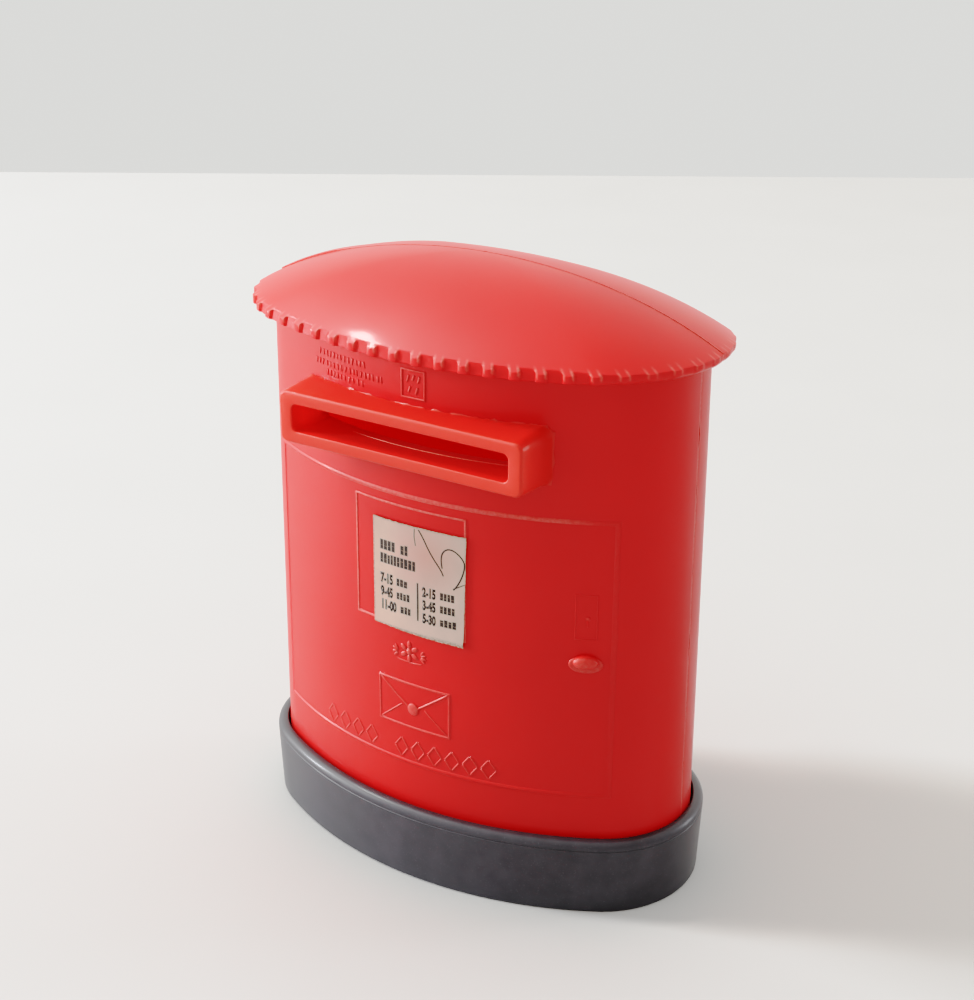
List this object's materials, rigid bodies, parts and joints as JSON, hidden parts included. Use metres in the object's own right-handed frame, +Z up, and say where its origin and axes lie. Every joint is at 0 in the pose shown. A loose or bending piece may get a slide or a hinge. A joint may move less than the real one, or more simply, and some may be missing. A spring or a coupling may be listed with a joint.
{
  "type": "letter box money box",
  "caption": "Oval letter-box money box in red moulded plastic: domed scalloped roof, hooded coin slot, paper notice and a black tray base that lifts off.",
  "frame": {"origin": "middle of the plinth's underside, on the surface it stands on", "axes": "+Z up, the front with the slot and the notice faces -Y, +X along the box's width to the right as seen from the front"},
  "size_m": [0.092, 0.0536, 0.1137],
  "materials": {
    "red_plastic": "semi-gloss moulded plastic, slightly translucent",
    "hood_plastic": "semi-gloss moulded plastic, a warmer red than the shell",
    "black_plastic": "satin moulded plastic, faded to a dark warm grey",
    "notice_paper": "aged matt paper, printed"
  },
  "bodies": {
    "base": {"plinth": "black_plastic"},
    "box": {"front_shell": "red_plastic", "back_shell": "red_plastic", "letter_hood": "hood_plastic", "notice_label": "notice_paper"}
  },
  "joints": [
    {"name": "base_release", "type": "slide", "parent": "base", "child": "box", "axis": [0, 0, 1], "range_m": [0, 0.03]}
  ]
}
